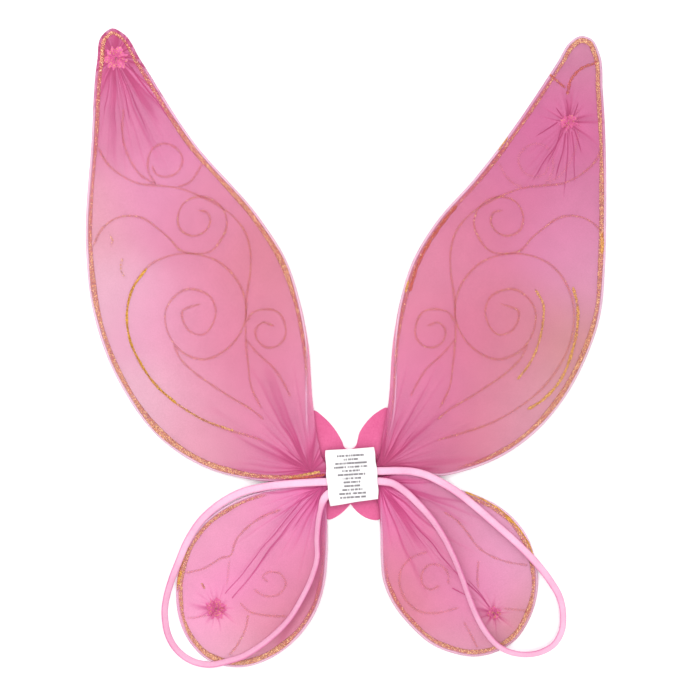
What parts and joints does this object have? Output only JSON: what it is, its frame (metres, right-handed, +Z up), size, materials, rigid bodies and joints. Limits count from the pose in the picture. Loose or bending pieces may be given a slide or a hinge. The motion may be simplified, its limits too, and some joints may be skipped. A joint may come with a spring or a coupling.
{
  "type": "fairy wings",
  "caption": "Four sheer nylon wings stretched on wire loops round a flat foam centre, with two elastic shoulder loops.",
  "frame": {"origin": "centre of the foam butterfly's lower face, which lies on the table", "axes": "+Z up towards the wearer's side, +Y towards the upper wing tips, +X to the right seen from the wearer's side"},
  "size_m": [0.4686, 0.5753, 0.0077],
  "materials": {
    "foam": "matte",
    "glue": "satin",
    "tape": "matte",
    "label": "satin",
    "elastic": "matte",
    "wire": "gloss",
    "nylon": "satin",
    "nylon_gather": "satin",
    "thread": "matte",
    "glitter": "satin"
  },
  "bodies": {
    "centre": {"outer_pad": "foam", "outer_glue": "glue", "centre_binding": "tape", "inner_glue": "glue", "label": "label", "left_strap": "elastic", "right_strap": "elastic", "upper_left_wire_legs": "wire", "upper_left_cover_neck": "nylon", "upper_left_root_tie": "thread", "upper_right_wire_legs": "wire", "upper_right_cover_neck": "nylon", "upper_right_root_tie": "thread", "lower_left_wire_legs": "wire", "lower_left_cover_neck": "nylon", "lower_left_root_tie": "thread", "lower_right_wire_legs": "wire", "lower_right_cover_neck": "nylon", "lower_right_root_tie": "thread"},
    "upper_left_wing": {"upper_left_wire": "wire", "upper_left_cover": "nylon", "upper_left_toe_gather": "nylon_gather"},
    "upper_right_wing": {"upper_right_wire": "wire", "upper_right_cover": "nylon", "upper_right_toe_gather": "nylon_gather"},
    "lower_left_wing": {"lower_left_wire": "wire", "lower_left_cover": "nylon", "lower_left_toe_gather": "nylon_gather"},
    "lower_right_wing": {"lower_right_wire": "wire", "lower_right_cover": "nylon", "lower_right_toe_gather": "nylon_gather"}
  },
  "joints": [
    {"name": "upper_left_wing_bend", "type": "hinge", "parent": "centre", "child": "upper_left_wing", "pos_m": [-0.071, -0.0025, 0.0042], "axis": [0.4216, 0.9068, 0], "range_deg": [-20, 45]},
    {"name": "upper_right_wing_bend", "type": "hinge", "parent": "centre", "child": "upper_right_wing", "pos_m": [0.0365, 0.076, 0.0042], "axis": [0.4045, -0.9145, 0], "range_deg": [-20, 45]},
    {"name": "lower_left_wing_bend", "type": "hinge", "parent": "centre", "child": "lower_left_wing", "pos_m": [-0.0205, -0.049, 0.0042], "axis": [-0.6668, 0.7452, 0], "range_deg": [-20, 45], "deforming": ["left_strap"]},
    {"name": "lower_right_wing_bend", "type": "hinge", "parent": "centre", "child": "lower_right_wing", "pos_m": [0.061, -0.007, 0.0042], "axis": [-0.6347, -0.7727, 0], "range_deg": [-20, 45], "deforming": ["right_strap"]}
  ]
}
